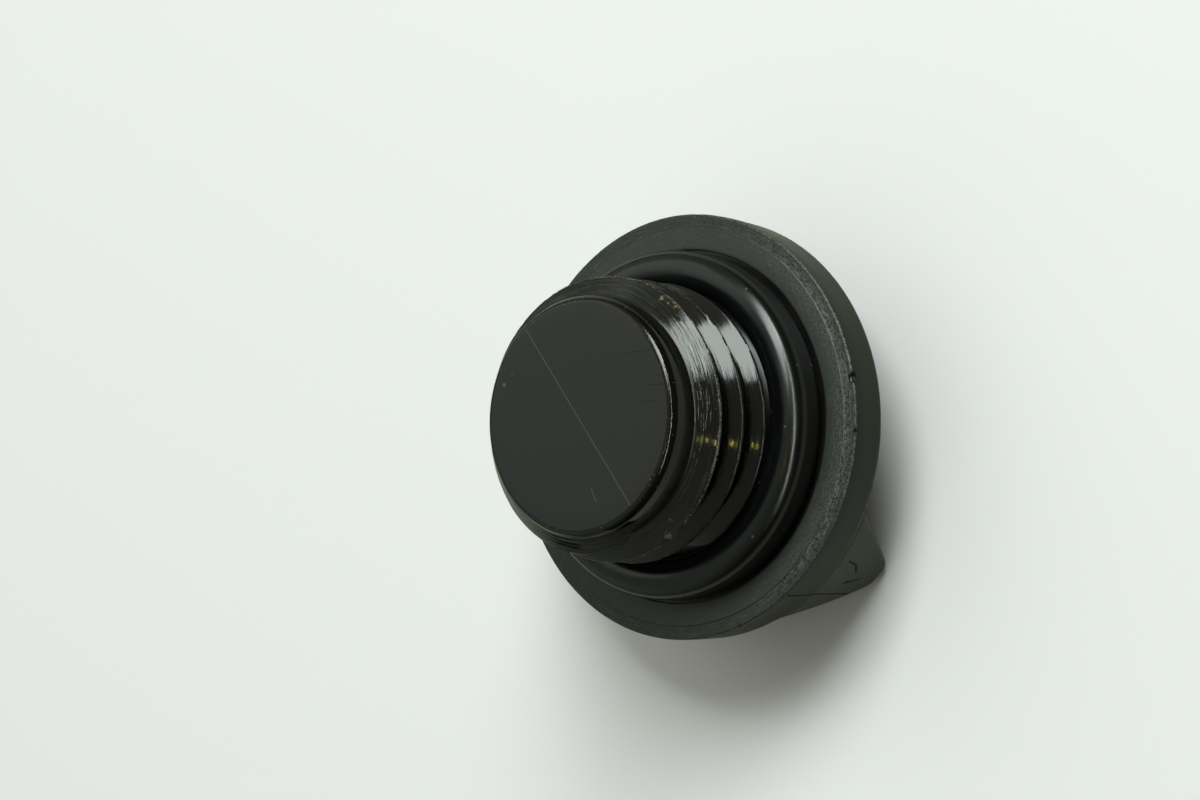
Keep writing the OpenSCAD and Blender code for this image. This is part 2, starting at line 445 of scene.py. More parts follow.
# How strongly these show, from 0 to 1: pips of the bevel, parting line, crease, dust, burrs and dried oil
PIPS, SPLIT, CREASED, DUSTED, BURRED, OILED = 0.45, 0.16, 0.3, 0.25, 0.3, 0.8
# Strength of the closed end's dark scratches, in depth and in painted shade, as a share of the other grooves'
END_CUT_DEPTH = 0.5

# Roughness of each finish. A pair is what a pattern varies it between.
SATIN = (0.27, 0.33)
POLISHED = (0.06, 0.12)
SCUFFED = (0.42, 0.55)
SATIN_END = 0.36
GLOSSY_BEVEL = 0.13
TORN = 0.9
SMOOTH_RUBBER = (0.2, 0.28)
# What the thread's crest adds to the roughness there, and what full wear adds
CREST_DULLNESS, WEAR_DULLNESS = 0.14, 0.2


def placed(add):
    """Object coordinates, their three parts, the radius, and the angle round the axis in degrees."""
    where = add("place")
    x, y, z = add("parts", where).node.outputs
    radius = add("vector length", add("vector", x, y))
    turn = add("in degrees", add("bearing", y, x))
    return SimpleNamespace(where=where, x=x, y=y, z=z, radius=radius, turn=turn)


def new_material(name, ior):
    """An empty material with its shader, and the function that adds nodes to it."""
    material = bpy.data.materials.new(name)
    material.use_nodes = True
    tree = material.node_tree
    tree.nodes.clear()
    add = partial(add_node, tree)
    shader = add("shader")
    shader.node.inputs["IOR"].default_value = ior
    add("surface", shader)
    return material, shader.node.inputs, add


def dressed(inputs, add, tint, rough, relief):
    """Joins colour, roughness and relief in millimetres to the shader."""
    links = inputs["Base Color"].id_data.links
    links.new(tint, inputs["Base Color"])
    links.new(rough, inputs["Roughness"])
    links.new(add("bump", relief, 1.0, 1 * MM), inputs["Normal"])


def moulding_surfaces(add, at):
    """Where each surface of the moulding lies: 1 on the surface and 0 beside it."""
    sizes = bpy.context.scene.filler_cap
    plug, thread = sizes.plug, sizes.thread
    z, radius = at.z, at.radius
    disc_r = plug.core_r - plug.bevel_w - GLOSSY_EDGE * plug.end_edge_r
    crest_r = plug.core_r + thread.depth
    land_r = plug.flange_r - plug.land_w

    end_height = add("eased", z, *past(plug.top, -0.05, -0.02))
    disc = add("product", end_height, add("eased", radius, *past(disc_r, 0, -0.08)))
    taken = add("larger", add("eased", radius, *past(plug.core_r, 0.02, 0.12)), disc)
    nose_height = add("eased", z, *past(plug.top, -2.2, -1.8))
    nose = add("product", nose_height, add("difference", 1.0, taken))
    thread_height = add("eased", z, *past(plug.neck_h, 0.7, 1.5))
    past_core = add("eased", radius, *past(plug.core_r, 0.05, 0.4))
    by_crest = add("eased", radius, *past(crest_r, -0.26, -0.1))
    past_seat = add("eased", radius, *past(plug.seat_r, 0.1, 0.4))
    face = add("product", band(add, z, -0.15, 0.2, 0.04), past_seat)
    past_face = add("eased", radius, *past(land_r, -0.1, 0))
    land = add("product", band(add, z, -0.3, -0.09, 0.03), past_face)
    by_edge = add("eased", radius, *past(plug.flange_r, -0.26, -0.14))
    below_edge = add("eased", z, *past(0, -0.5, -0.9))
    return SimpleNamespace(
        disc=disc,
        nose=nose,
        bevel=add("product", nose, add("eased", z, *past(plug.top, -0.92, -0.8))),
        flanks=add("product", past_core, thread_height),
        first_turn=add("eased", z, *past(plug.top, -8, -4)),
        crest=add("product", by_crest, thread_height),
        face=face,
        land=land,
        flat=add("sum", face, land),
        rim=add("product", band(add, z, -0.36, -0.12, 0.05), by_edge),
        outside=add("product", add("eased", radius, *past(land_r, 0, 0.3)), below_edge),
    )


def moulding_patterns(add, at):
    """Clouds, fibre skin, scratches and dust on the moulding.

    Fibres and scratches are finer than this in the plastic, and are drawn as coarse as they need to show."""
    lengths = unrolled(add, at, 15)
    return SimpleNamespace(
        skin=add("noise", at.where, scale_for(0.4), 4.0, 0.6),
        cloud=add("noise", at.where, scale_for(7), 3.0),
        patches=add("noise", at.where, scale_for(2.2), 4.0, 0.6),
        crumbs=add("noise", at.where, scale_for(0.25), 3.0),
        fine_lines=add("noise", stretched(add, lengths, (14, 0.22, 0.22)), 1.0, 2.0),
        coarse_lines=add("noise", stretched(add, lengths, (16, 0.5, 0.5)), 1.0, 3.0),
        arcs=add("noise", stretched(add, lengths, (1.6, 0.14, 2)), 1.0, 5.0, 0.7),
        grit=specks(add, at.where, 0.3, 0.3),
        pips=specks(add, at.where, 0.4, 0.35),
        dust=specks(add, at.where, 1.3, 0.02),
    )


def parting_marks(add, at, surface):
    """Parting line of the tool across the closed end and down the wall, and the half that looks cooler."""
    split = math.radians(PARTING_TURN)
    aside = add("sum", add("product", at.x, -math.sin(split)), add("product", at.y, math.cos(split)))
    off_line = add("magnitude", aside)
    return SimpleNamespace(
        on_end=add("product", add("eased", off_line, *past(0, 0.08, 0.03)), surface.disc),
        on_wall=add("product", add("eased", off_line, *past(0, 0.15, 0.05)), surface.outside),
        cool_half=add("eased", aside, *past(0, 0.15, -0.15)),
    )


def wear_marks(add, at, surface, pattern, parting):
    """What the filler neck and knocks have left on the moulding, with the masks for painted light on the grip
    and painted shade in the grooves.
    """
    plug = bpy.context.scene.filler_cap.plug
    crumbs, patches, arcs, flat = pattern.crumbs, pattern.patches, pattern.arcs, surface.flat

    # The grip, painted paler in patches as painted light, for the light that the grip of a tilted cap catches
    # from the board below; and the crease over its end
    patchy_grip_light = add("eased", pattern.cloud, 0.3, 0.7, 0.8, 1.0)
    grip_painted_light = add("product", add("eased", at.z, *past(-plug.flange_t, -0.1, -0.6)), patchy_grip_light)
    crease = add("product", surface.outside, near_turn(add, at, *CREASED_SIDE), band(add, at.z, *CREASE))

    # The sealing face, speckled pale in the ring that the filler neck rubbed, but only near the side round
    # 50° from the grip, fading out by 80° from it
    rubbed_ring = add("product", flat, band(add, at.radius, *RUBBED_RING), near_turn(add, at, *SPECKLED_SIDE))
    pale_arcs = add("eased", arcs, 0.35, 0.7, 0.04, 0.17)
    speckle = add("product", pale_arcs, add("eased", crumbs, 0.4, 0.65, 0.35, 1.7))

    # The thread, scored round the axis and rubbed pale on its crest, most of all on the first turn
    scores = add("eased", pattern.fine_lines, 0.5, 0.65, 0.0, 0.1)
    scored = add("product", surface.flanks, surface.first_turn, scores, add("eased", patches, 0.35, 0.6))
    bared = add("product", surface.crest, add("eased", crumbs, 0.42, 0.6), add("eased", patches, 0.36, 0.58))
    towards_end = add("eased", at.z, *past(plug.top, -10.5, -4.5), 0.04, 0.45)

    # The flange's front edge, chipped pale, most of all on the side round 80° from the grip; there the pale
    # chips also paint the edge's highlight
    chips = add("product", add("eased", crumbs, 0.42, 0.65), add("eased", patches, 0.35, 0.6, 0.15, 0.5))

    # Deep cuts: the relief gives their grooves, and their black colour is painted shade
    grip_end = add("eased", at.x, *past(plug.flange_r, -4.5, -3.5))
    scrapes = add("larger", *[stroke(add, at.y, at.z, *mark) for mark in GRIP_MARKS])
    end_cuts = add("larger", *[stroke(add, at.x, at.y, *mark) for mark in END_CUTS])
    return SimpleNamespace(
        grip_painted_light=grip_painted_light,
        crease=crease,
        rubbed=add("product", rubbed_ring, speckle),
        rubber_crumbs=add("product", flat, add("eased", crumbs, 0.5, 0.3, 0.0, 0.4)),
        scuffs=add("product", flat, add("eased", arcs, 0.5, 0.75, 0.0, 0.12)),
        grit=add("product", flat, pattern.grit, add("eased", patches, 0.45, 0.6, 0.0, 0.3)),
        scored=scored,
        crest=add("product", bared, towards_end),
        rim=add("product", surface.rim, chips, near_turn(add, at, *CHIPS_AND_HIGHLIGHT_SIDE)),
        cuts_and_groove_shade=add(
            "larger",
            parting.on_wall,
            add("product", scrapes, grip_end),
            add("product", end_cuts, surface.disc, END_CUT_DEPTH),
        ),
    )


def moulding_colour(add, at, surface, pattern, parting, wear):
    """Colour of the moulding: the plastic as it was moulded, and over it the marks of use, painted light on
    the grip and painted shade in the grooves, one by one.
    """
    colours = bpy.context.scene.filler_cap.colours
    aged = add("eased", pattern.cloud, 0.35, 0.65, 0.0, 0.5)
    tint = add("tint", aged, linear(colours.nylon), linear(colours.nylon_brown))
    halves = add("tint", parting.cool_half, linear(colours.end_disc), linear(colours.end_disc_cool))
    tint = add("tint", surface.disc, tint, halves)
    layers = [
        (surface.nose, colours.bevel),
        (surface.face, colours.face),
        (surface.land, colours.land),
        (surface.outside, colours.wall),
        (wear.grip_painted_light, colours.grip),
        (wear.rubbed, colours.scuff),
        (wear.rubber_crumbs, colours.rubber),
        (wear.scuffs, colours.scuff),
        (wear.grit, colours.dust),
        (wear.scored, colours.worn_crest),
        (wear.crest, colours.worn_crest),
        (wear.rim, colours.scuff),
        (add("product", surface.bevel, pattern.pips, PIPS), colours.dust),
        (add("product", parting.on_end, SPLIT), colours.scuff),
        (add("product", wear.crease, CREASED), colours.scuff),
        (wear.cuts_and_groove_shade, colours.cut),
    ]
    for start, end, half, pale in END_SCRATCHES:
        scratch = stroke(add, at.x, at.y, start, end, half)
        layers.append((add("product", scratch, surface.disc, pale), colours.scuff))
    layers.append((add("product", pattern.dust, DUSTED), colours.dust))
    for centre, radius in SEAM_BURRS:
        burr = spot(add, at.where, centre, radius, pattern.crumbs)
        layers.append((add("product", burr, BURRED), colours.worn_crest))
    for centre, radius in OIL_SPECKS:
        oil = spot(add, at.where, centre, radius, pattern.crumbs)
        layers.append((add("product", oil, OILED), colours.varnish))
    for share, hex_colour in layers:
        tint = add("tint", share, tint, linear(hex_colour))
    return tint


def moulding_roughness(add, surface, pattern, wear):
    """Satin skin, polished thread and scuffed sealing face, duller where they are worn."""
    rough = add("eased", pattern.cloud, 0.3, 0.7, *SATIN)
    layers = (
        (add("larger", surface.flanks, surface.nose), add("eased", pattern.fine_lines, 0.35, 0.7, *POLISHED)),
        (surface.disc, SATIN_END),
        (surface.bevel, GLOSSY_BEVEL),
        (surface.flat, add("eased", pattern.arcs, 0.3, 0.7, *SCUFFED)),
        (wear.cuts_and_groove_shade, TORN),
    )
    for share, finish in layers:
        rough = add("blend", share, rough, finish)
    worn = add("product", add("sum", wear.crest, wear.rim), WEAR_DULLNESS)
    return add("sum", rough, add("product", surface.crest, CREST_DULLNESS), worn)


def moulding_relief(add, surface, pattern, parting, wear):
    """Height of the forms that are too fine for the mesh, in millimetres."""
    scratches = add("product", add("eased", pattern.fine_lines, 0.38, 0.62), surface.flanks)
    waves = add("product", pattern.coarse_lines, surface.flanks)
    layers = (
        (pattern.skin, add("blend", wear.grip_painted_light, 0.002, 0.0)),
        (scratches, add("blend", surface.first_turn, -0.003, -0.016)),
        (waves, add("blend", surface.first_turn, 0.006, 0.009)),
        (add("product", pattern.crumbs, surface.bevel), 0.013),
        (add("product", pattern.arcs, surface.flat), 0.008),
        (parting.on_end, 0.012),
        (wear.cuts_and_groove_shade, -0.1),
        (wear.rim, -0.012),
    )
    return add("sum", *[add("product", form, height) for form, height in layers])


def moulded_nylon(name):
    """Injection-moulded black nylon with glass fibre.

    A satin skin where the tool was textured, glossy where it was polished. Use has scratched the thread round
    the axis, rubbed its crest pale and left dull, speckled arcs on the sealing face."""
    material, inputs, add = new_material(name, ior=1.43)
    at = placed(add)
    surface = moulding_surfaces(add, at)
    pattern = moulding_patterns(add, at)
    parting = parting_marks(add, at, surface)
    wear = wear_marks(add, at, surface, pattern, parting)
    tint = moulding_colour(add, at, surface, pattern, parting, wear)
    rough = moulding_roughness(add, surface, pattern, wear)
    dressed(inputs, add, tint, rough, moulding_relief(add, surface, pattern, parting, wear))
    return material


def nitrile_rubber(name):
    """Moulded nitrile rubber: a smooth, faintly oily skin that mirrors a window softly, with dust on it."""
    colours = bpy.context.scene.filler_cap.colours
    material, inputs, add = new_material(name, ior=1.45)
    at = placed(add)
    skin = add("noise", at.where, scale_for(0.6), 3.0)
    smear = add("noise", stretched(add, unrolled(add, at, 18), (9, 1.2, 1.2)), 1.0, 3.0)
    bloomed = add("eased", smear, 0.4, 0.7, 0.0, 0.5)
    tint = add("tint", bloomed, linear(colours.rubber), linear(colours.rubber_bloom))
    tint = add("tint", add("product", specks(add, at.where, 0.9, 0.08), DUSTED), tint, linear(colours.dust))
    rough = add("eased", smear, 0.35, 0.7, *SMOOTH_RUBBER)
    relief = add("sum", add("product", skin, 0.002), add("product", smear, 0.012))
    dressed(inputs, add, tint, rough, relief)
    return material


def shared(name, maker):
    """The material of that name, which the maker makes when it is first needed."""
    return bpy.data.materials.get(name) or maker(name)


# Plug and flange

# Nicks knocked out of the flange's front edge: angle from the grip, length and depth in mm
EDGE_NICKS = (
    (56.2, 1.2, 0.5),
    (42.2, 0.6, 0.3),
    (63.5, 0.5, 0.12),
    (31.0, 0.4, 0.1),
    (-24.0, 0.7, 0.15),
    (131.0, 0.9, 0.2),
)
# How far a nick is driven down for each millimetre inwards, and how flat its floor is
NICK_SLANT = 0.8
NICK_FLATNESS = 1.6


def at_clock(turn, radius, height):
    """The point at an angle in degrees from the grip."""
    t = math.radians(turn)
    return Vector((radius * math.cos(t), radius * math.sin(t), height))


def nicked(plug):
    """A function that pushes points of the front edge back where a nick sits."""
    nicks = [
        (at_clock(turn, plug.flange_r, -plug.land_drop), long * MM / 2, deep * MM)
        for turn, long, deep in EDGE_NICKS
    ]

    def moved(point):
        p = Vector(point)
        for centre, half, deep in nicks:
            near = 1 - ((p - centre).length / half) ** 2
            if near > 0:
                inward = Vector((-centre.x, -centre.y, -NICK_SLANT * plug.flange_r)).normalized()
                p = p + inward * deep * min(1, near * NICK_FLATNESS)
        return p

    return moved


def turned_profile(p):
    """Outline of plug, neck, seat and flange, from the middle of the closed end to the middle of the back."""
    bevel_angle = math.degrees(math.atan2(p.bevel_w, p.bevel_h))
    edge_x = p.core_r - p.bevel_w - p.end_edge_r * math.tan(math.radians(45 - bevel_angle / 2))
    bevel_foot = (p.core_r, p.top - p.bevel_h)
    foot_centre = (p.core_r - p.bevel_foot_r, bevel_foot[1] - p.bevel_foot_r / 2)
    cone_top = (p.core_r, p.neck_h + p.neck_cone_h)
    seat_in, seat_out = (p.neck_r, -p.seat_depth), (p.seat_r, -p.seat_depth)
    face_in = (p.seat_r + p.seat_edge, 0)
    land_in = (p.flange_r - p.land_w, -p.land_drop)
    face_out = (land_in[0] - p.land_drop, 0)
    edge = -p.land_drop - p.front_edge_r
    nicks_end = edge - 1 * MM
    back = -p.flange_t
    back_r = p.flange_r - p.flange_t * math.tan(p.draft)

    profile = [(0, p.top)]
    profile += spaced((0, p.top), (edge_x, p.top), 6)
    profile += arc((edge_x, p.top - p.end_edge_r), p.end_edge_r, 90, bevel_angle, 6)
    profile += spaced(profile[-1], bevel_foot, 3)
    profile += arc(foot_centre, p.bevel_foot_r, 25, 0, 2)
    profile += spaced(profile[-1], cone_top, 8)
    profile += [cone_top, (p.neck_r, p.neck_h), seat_in]
    profile += spaced(seat_in, seat_out, 2)
    profile += [seat_out, (p.seat_r, -p.seat_edge), face_in]
    profile += spaced(face_in, face_out, 4)
    profile += [face_out, land_in]
    profile += spaced(land_in, (p.flange_r - p.front_edge_r, -p.land_drop), 6)
    profile += arc((p.flange_r - p.front_edge_r, edge), p.front_edge_r, 90, 0, 6)
    profile += spaced((p.flange_r, edge), (p.flange_r, nicks_end), 5)
    profile += spaced((p.flange_r, nicks_end), (back_r, back + p.back_edge_r), 6)
    profile += arc((back_r - p.back_edge_r, back + p.back_edge_r), p.back_edge_r, 0, -90, 7)
    profile += spaced(profile[-1], (0, back), 6)
    return profile + [(0, back)]


class FILLERCAP_OT_plug(bpy.types.Operator):
    """Turns the plug, neck, seat and flange"""

    bl_idname = "fillercap.plug"
    bl_label = "Plug and flange"

    def execute(self, context):
        plug = context.scene.filler_cap.plug
        nylon = shared(NYLON, moulded_nylon)
        body = turned_mesh("cap_body", turned_profile(plug), plug.segments, nylon, nicked(plug))
        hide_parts("cap")
        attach(body, "root")
        return {"FINISHED"}


# Thread

# Kind of socket that takes each kind of value
SOCKETS = {float: "NodeSocketFloat", int: "NodeSocketInt", bpy.types.Material: "NodeSocketMaterial"}
# Share of the section's loop that follows the flanks and the crest. The rest closes it inside the core.
OUTER_SHARE = 0.75
# Size of the section at the thread's very ends, as a share of its full size, so that no face is lost there
LEAST_SWELL = 0.02
# How deep the flanks' feet end below the core's surface, as a share of the root sink
FOOT_SHARE = 0.2
# The crest is worn where the noise lies above the first value, and worn fully above the second.
WEAR_NOISE = (0.46, 0.75)
# How far the crest lies under the core's surface above the lead-in
LEAD_IN_COVER = 0.03 * MM


def thread_tree(values):
    """Geometry nodes that sweep the thread's section down the helix, sink its ends and wear its crest.

    Each named value gets an input of its own."""
    tree = bpy.data.node_groups.new("helical_thread", "GeometryNodeTree")
    tree.interface.new_socket("Geometry", in_out="OUTPUT", socket_type="NodeSocketGeometry")
    for name, value in values.items():
        tree.interface.new_socket(name, in_out="INPUT", socket_type=SOCKETS[type(value)])
    add = partial(add_node, tree)
    given = add("given").node.outputs

    # The path: a straight line bent into the helix
    share = add("share of curve")
    whole = add("product", given["Turns"], 2 * math.pi)
    down = add("product", share, whole)
    turn = add("difference", given["Start angle"], down)
    path_spot = add(
        "vector",
        add("product", add("cosine", turn), given["Core radius"]),
        add("product", add("sine", turn), given["Core radius"]),
        add("difference", given["First crest height"], add("product", share, given["Turns"], given["Pitch"])),
    )
    helix = add("moved to", add("resampled", add("line"), given["Rings"]), path_spot)
    from_start = add("quotient", down, given["Run-in angle"])
    to_end = add("quotient", add("difference", whole, down), given["Run-out angle"])
    risen = add("smaller", add("smaller", from_start, to_end), 1.0)
    swell = add("eased", risen, 0.0, 1.0, LEAST_SWELL, 1.0)

    # The section. On this path its x points to the axis and its y points down.
    outer = add("is less", share, OUTER_SHARE)
    inner = add("difference", 1.0, outer)
    slope = add("tangent", given["Half angle"])
    half_foot = add("sum", add("product", given["Depth"], slope), add("product", given["Crest width"], 0.5))
    width = add("product", add("sum", half_foot, given["Foot fillet"]), 2.0)
    outward_way = add("product", outer, add("quotient", share, OUTER_SHARE))
    return_way = add("product", inner, add("quotient", add("difference", 1.0, share), 1 - OUTER_SHARE))
    height = add("product", add("difference", add("sum", outward_way, return_way), 0.5), width)
    flank = add("quotient", add("difference", half_foot, add("magnitude", height)), slope)
    crest = add("soft smaller", flank, given["Depth"], given["Crest rounding"])
    foot_depth = add("product", given["Root sink"], -FOOT_SHARE)
    foot = add("soft larger", crest, foot_depth, given["Foot fillet"])
    out = add("difference", add("product", outer, foot), add("product", inner, given["Root sink"]))
    section_spot = add("vector", add("product", out, -1.0), add("product", height, -1.0))
    section = add("moved to", add("circle", given["Section points"]), section_spot)
    swept = add("swept", add("upright curve", helix), section, swell, True)

    # Wear: noise pushes the crest in towards the axis, most of all the outermost points.
    here = add("position")
    flat = add("vector product", here, (1.0, 1.0, 0.0))
    radius = add("vector length", flat)
    crest_r = add("sum", given["Core radius"], given["Depth"])
    worn_from = add("difference", crest_r, add("product", given["Wear depth"], 2.0))
    near_crest = add("eased", radius, worn_from, crest_r)
    rubbed = add("eased", add("noise", here, add("quotient", 1.0, given["Wear size"]), 4.0), *WEAR_NOISE)
    bite = add("product", rubbed, near_crest, given["Wear depth"], -1.0)
    worn = add("moved by", swept, add("vector scaled", add("unit vector", flat), bite))

    # Lead-in: a cone that turns the first crest down towards the closed end
    x, y, z = add("parts", here).node.outputs
    below = add("larger", add("difference", given["Lead-in height"], z), -LEAD_IN_COVER)
    cone_r = add("sum", given["Core radius"], add("product", below, given["Lead-in slope"]))
    shrink = add("smaller", 1.0, add("quotient", cone_r, add("larger", radius, MM)))
    led = add("moved to", worn, add("vector", add("product", x, shrink), add("product", y, shrink), z))
    add("result", add("finished", add("realized", led), given["Material"]))
    return tree


def grown(name, tree, values):
    """The plain mesh that a node tree makes, as a piece of that name."""
    seed = bpy.data.objects.new(name + "_seed", bpy.data.meshes.new(name + "_seed"))
    bpy.context.scene.collection.objects.link(seed)
    modifier = seed.modifiers.new("growth", "NODES")
    modifier.node_group = tree
    sockets = {s.name: s.identifier for s in tree.interface.items_tree if s.in_out == "INPUT"}
    for key, value in values.items():
        modifier[sockets[key]] = value
    mesh = bpy.data.meshes.new_from_object(seed.evaluated_get(bpy.context.evaluated_depsgraph_get()))
    bpy.data.objects.remove(seed)
    mesh.name = name
    obj = bpy.data.objects.new(name, mesh)
    bpy.context.scene.collection.objects.link(obj)
    return obj


class FILLERCAP_OT_thread(bpy.types.Operator):
    """Sweeps the coarse helical thread"""

    bl_idname = "fillercap.thread"
    bl_label = "Thread"

    def execute(self, context):
        plug = context.scene.filler_cap.plug
        t = context.scene.filler_cap.thread
        values = {
            "Core radius": plug.core_r,
            "Depth": t.depth,
            "Pitch": t.pitch,
            "Crest width": t.crest,
            "Half angle": t.flank,
            "Turns": t.turns,
            "First crest height": plug.top - t.lead,
            "Start angle": t.start,
            "Run-in angle": t.run_in,
            "Run-out angle": t.run_out,
            "Foot fillet": t.foot_r,
            "Crest rounding": t.crest_r,
            "Root sink": t.sink,
            "Wear depth": t.wear,
            "Wear size": t.wear_size,
            "Lead-in height": plug.top - t.lead_in,
            "Lead-in slope": math.tan(t.lead_in_angle),
            "Rings": round(t.turns * t.steps),
            "Section points": t.section,
            "Material": shared(NYLON, moulded_nylon),
        }
        thread = grown("cap_thread", thread_tree(values), values)
        thread.data.shade_smooth()
        thread.data.set_sharp_from_angle(angle=math.radians(50))
        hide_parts("cap")
        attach(thread, "root")
        return {"FINISHED"}


# Grip

# Steps of a quarter of each loop round the grip: along half a flank, round the corner, across half an end
FLANK_STEPS, CORNER_STEPS, END_STEPS = 30, 8, 12
# How far the grip's first and second loops lie inside the flange
GRIP_SINK, GRIP_COVER = 0.6 * MM, 0.01 * MM
# Where the last loop stops on the ridge's round, in degrees: just beside its middle
RIDGE_END = 89.6
# Most of the grip's half width that a corner takes up
CORNER_SHARE = 0.9


def grip_sections(grip, plug):
    """Half width, end radius and height of the grip's loops, from inside the flange out to the ridge."""
    foot, tip_y = grip.foot_w / 2, grip.depth - plug.flange_t - grip.tip_r
    slope = math.atan2(foot, tip_y) - math.asin(grip.tip_r / math.hypot(foot, tip_y))
    lean = (math.cos(slope), math.sin(slope))
    tangent = (grip.tip_r * lean[0], tip_y + grip.tip_r * lean[1])
    fillet = (foot + grip.foot_r * (1 - lean[1]) / lean[0], grip.foot_r)
    top = (fillet[0] - grip.foot_r * lean[0], fillet[1] - grip.foot_r * lean[1])
    steps = [(fillet[0], -GRIP_SINK), (fillet[0], -GRIP_COVER)]
    steps += arc(fillet, grip.foot_r, 270, 180 + math.degrees(slope), 6)
    steps += spaced(top, tangent, 14)
    steps += arc((0, tip_y), grip.tip_r, math.degrees(slope), RIDGE_END, 16)
    end = grip.depth - plug.flange_t
    for half, rise in steps:
        depth = plug.flange_t + rise
        over = max(0, rise - (end - grip.end_r))
        inset = grip.end_r - math.sqrt(max(0, grip.end_r**2 - over**2))
        yield half, plug.flange_r - depth * math.tan(plug.draft) - grip.ledge - inset, -depth


def grip_loop(half, radius, height, corner):
    """One closed loop: two straight flanks, two ends on a circle, and rounded corners between them."""
    corner = min(corner, half * CORNER_SHARE)
    cy = half - corner
    cx = math.sqrt((radius - corner) ** 2 - cy**2)
    end = math.atan2(cy, cx)
    quarter = [(cx * i / FLANK_STEPS, half) for i in range(FLANK_STEPS)]
    for i in range(CORNER_STEPS):
        t = math.pi / 2 + (end - math.pi / 2) * i / CORNER_STEPS
        quarter.append((cx + corner * math.cos(t), cy + corner * math.sin(t)))
    for i in range(END_STEPS):
        t = end * (1 - i / END_STEPS)
        quarter.append((radius * math.cos(t), radius * math.sin(t)))
    right = quarter + [(radius, 0.0)] + [(x, -y) for x, y in reversed(quarter[1:])]
    left = [(-x, -y) for x, y in right]
    return [(x, y, height) for x, y in right + left]


class FILLERCAP_OT_grip(bpy.types.Operator):
    """Builds the turning grip from loops between the flange and the ridge"""

    bl_idname = "fillercap.grip"
    bl_label = "Grip"

    def execute(self, context):
        settings = context.scene.filler_cap
        sections = grip_sections(settings.grip, settings.plug)
        loops = [grip_loop(*section, settings.grip.corner_r) for section in sections]
        n = len(loops[0])
        last = n * (len(loops) - 1)
        points = [p for loop in loops for p in loop]
        steps = [(i, (i + 1) % n) for i in range(n)]
        faces = [(a + i, a + j, a + n + j, a + n + i) for a in range(0, last, n) for i, j in steps]
        faces += [tuple(range(n - 1, -1, -1)), tuple(range(last, last + n))]
        grip = mesh_object("cap_grip", points, faces, shared(NYLON, moulded_nylon), sharp=35)
        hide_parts("cap")
        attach(grip, "root")
        return {"FINISHED"}


# Rubber ring

# Steps round the axis
RING_STEPS = 360


class FILLERCAP_OT_ring(bpy.types.Operator):
    """Turns the rubber ring"""

    bl_idname = "fillercap.ring"
    bl_label = "Rubber ring"

    def execute(self, context):
        r = context.scene.filler_cap.ring
        top_r = (r.outer_r - r.inner_r - r.flat) / 2
        profile = arc((r.inner_r + top_r, r.top - top_r), top_r, 180, 90, 16)
        profile += arc((r.outer_r - top_r, r.top - top_r), top_r, 90, 0, 24)
        profile += arc((r.outer_r - r.foot_r, r.foot + r.foot_r), r.foot_r, 0, -90, 8)
        profile += arc((r.inner_r + r.foot_r, r.foot + r.foot_r), r.foot_r, -90, -180, 6)
        rubber = shared(RUBBER, nitrile_rubber)
        ring = turned_mesh("gasket_ring", profile, RING_STEPS, rubber, closed=True)
        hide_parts("gasket")
        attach(ring, "root")
        return {"FINISHED"}


# Stage

# Lamps: name, azimuth and elevation in degrees, width and height in m, radiance of the face, colour,
# and whether it lights matte surfaces or only shows in gloss
LAMPS = (
    ("window", 108.5, 48, 0.62, 0.86, 12.8, "#EDF7F2", True),
    ("side_panel", 184, 42, 1.2, 0.9, 0.8, "#F3F9EE", True),
    ("strip", 61, 40, 3.6, 0.05, 36.0, "#F6FBF4", False),
    ("warm_lamp", 15, 67, 0.04, 0.035, 34.0, "#E6DC6A", False),
)
# Middle of the room's pale side: azimuth and elevation in degrees
PALE_SIDE = (-141, 40)
# The room is dim at the first cosine of the angle from that middle, and pale at the second.
ROOM_FADE = (-0.2, 0.75)


def direction(azimuth, elevation):
    """Unit vector from degrees round +Z from +X, and above the floor."""
    a, e = math.radians(azimuth), math.radians(elevation)
    return Vector((math.cos(e) * math.cos(a), math.cos(e) * math.sin(a), math.sin(e)))


def area_lamp(distance, name, azimuth, elevation, width, height, radiance, hex_colour, lights):
    """An area lamp that faces the cap. Its power is worked out from how bright its face should look."""
    data = bpy.data.lights.new(name, "AREA")
    data.shape = "RECTANGLE"
    data.size, data.size_y = width, height
    data.energy = radiance * math.pi * width * height
    data.color = linear(hex_colour)[:3]
    lamp = bpy.data.objects.new(name, data)
    lamp.visible_diffuse = lights
    out = direction(azimuth, elevation)
    lamp.location = out * distance
    lamp.rotation_euler = out.to_track_quat("Z", "Y").to_euler()
    bpy.context.scene.collection.objects.link(lamp)
    return lamp


def studio_world(stage):
    """A plain room: pale on the side that the closed end mirrors, dim and warm behind the camera."""
    world = bpy.data.worlds.new("plain_room")
    world.use_nodes = True
    world.node_tree.nodes.clear()
    add = partial(add_node, world.node_tree)
    facing = add("facing", add("sky way"), tuple(direction(*PALE_SIDE)))
    pale = add("eased", facing, *ROOM_FADE)
    room = add("tint", pale, linear(stage.room_colour), linear(stage.wall_colour))
    seen = add("tint", add("seen by camera"), room, linear(stage.backdrop))
    add("room", add("glow", seen, 1.0))
    bpy.context.scene.world = world


def pale_board(stage):
    """Matte painted board. In the cap's gloss it is a pale sheet on a dim bench.

    That is what the cap would mirror if it lay tilted, on its flange's edge."""
    material, inputs, add = new_material("matte_pale_board", ior=1.5)
    far = add("eased", placed(add).radius, stage.sheet_r * 0.5, stage.sheet_r * 1.5)
    bounced = add("tint", far, linear(stage.sheet_colour), linear(stage.bench_colour))
    tint = add("tint", add("seen by camera"), bounced, linear(stage.floor_colour))
    material.node_tree.links.new(tint, inputs["Base Color"])
    inputs["Roughness"].default_value = 1.0
    inputs["Specular IOR Level"].default_value = 0.0
    return material


